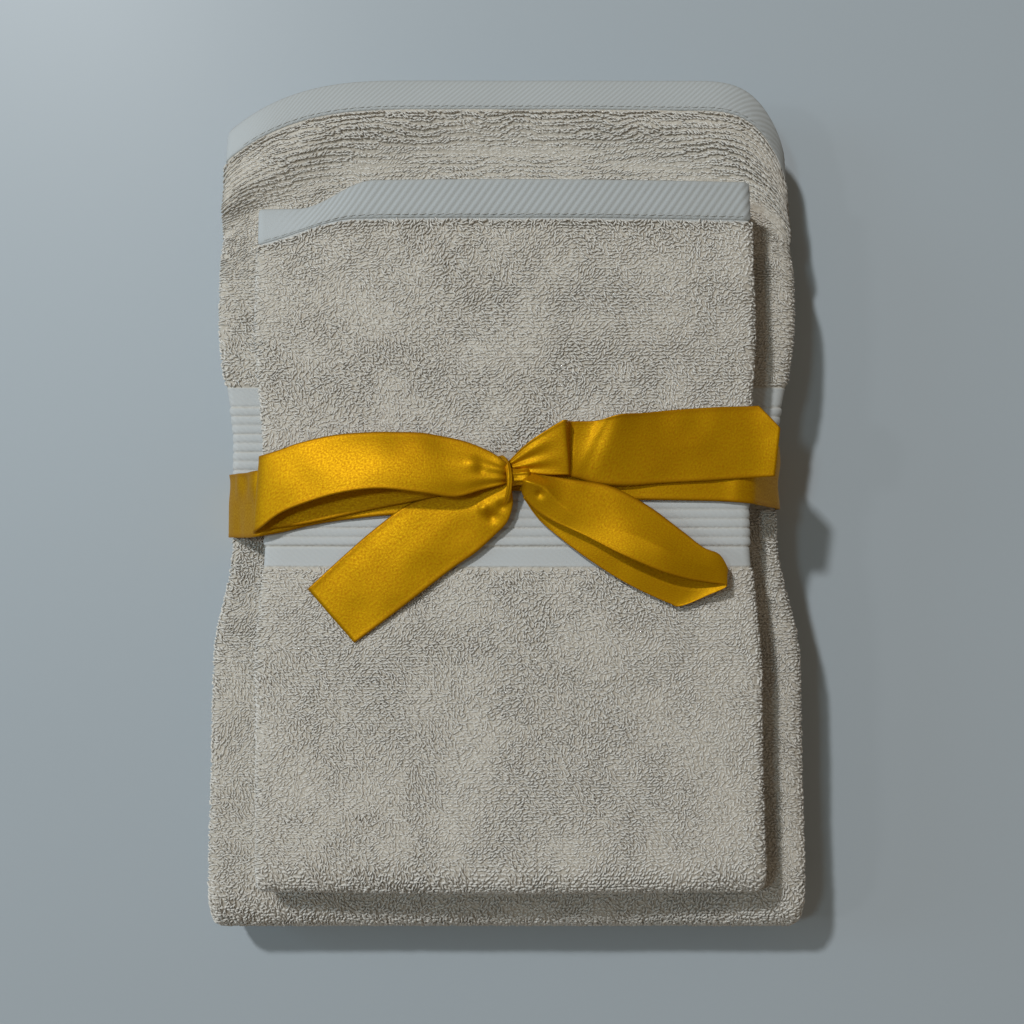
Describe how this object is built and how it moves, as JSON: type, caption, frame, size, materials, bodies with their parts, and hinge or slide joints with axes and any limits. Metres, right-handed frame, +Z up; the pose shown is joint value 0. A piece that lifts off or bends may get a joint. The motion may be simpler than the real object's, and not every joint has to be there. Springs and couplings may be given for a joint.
{
  "type": "towel set",
  "caption": "Folded terry bath towel with a folded hand towel on top, tied together with a satin ribbon and a bow.",
  "frame": {"origin": "middle of the bundle's underside, on the surface it lies on", "axes": "+Z up; +Y along the towels towards their hem ends, the long way of the bundle; +X across it, to the right of someone who looks along +Y"},
  "size_m": [0.2388, 0.342, 0.0806],
  "materials": {
    "bath_terry": "cream cotton terry with twill hems and a ribbed border",
    "hand_terry": "cream cotton terry with twill hems and a ribbed border",
    "hem_thread": "cream sewing thread",
    "satin_ribbon": "golden yellow polyester satin"
  },
  "bodies": {
    "bundle": {"bath_towel": "bath_terry", "bath_hem_thread": "hem_thread", "hand_towel": "hand_terry", "ribbon_band": "satin_ribbon", "ribbon_knot": "satin_ribbon", "ribbon_tail_left_base": "satin_ribbon", "ribbon_tail_right_base": "satin_ribbon"},
    "towel_end": {"hand_towel_end": "hand_terry", "hand_hem_thread": "hem_thread"},
    "loop_left": {"ribbon_loop_left": "satin_ribbon"},
    "loop_right": {"ribbon_loop_right": "satin_ribbon"},
    "tail_left": {"ribbon_tail_left": "satin_ribbon"},
    "tail_right": {"ribbon_tail_right": "satin_ribbon"}
  },
  "joints": [
    {"name": "towel_end_lift", "type": "hinge", "parent": "bundle", "child": "towel_end", "pos_m": [0, 0.05, 0.06985], "axis": [1, 0, 0], "range_deg": [0, 45]},
    {"name": "loop_left_lift", "type": "hinge", "parent": "bundle", "child": "loop_left", "pos_m": [-0.00355, 0.01, 0.07544], "axis": [-0.0541, 0.9985, -0.0002], "range_deg": [0, 50]},
    {"name": "loop_right_lift", "type": "hinge", "parent": "bundle", "child": "loop_right", "pos_m": [0.0112, 0.0055, 0.07537], "axis": [-0.4431, -0.8965, 0.0061], "range_deg": [0, 50]},
    {"name": "tail_left_lift", "type": "hinge", "parent": "bundle", "child": "tail_left", "pos_m": [-0.03485, -0.01516, 0.07054], "axis": [-0.6016, 0.7984, -0.0258], "range_deg": [0, 70]},
    {"name": "tail_right_lift", "type": "hinge", "parent": "bundle", "child": "tail_right", "pos_m": [0.03835, 0.02035, 0.07099], "axis": [0, -1, 0], "range_deg": [0, 70]}
  ]
}
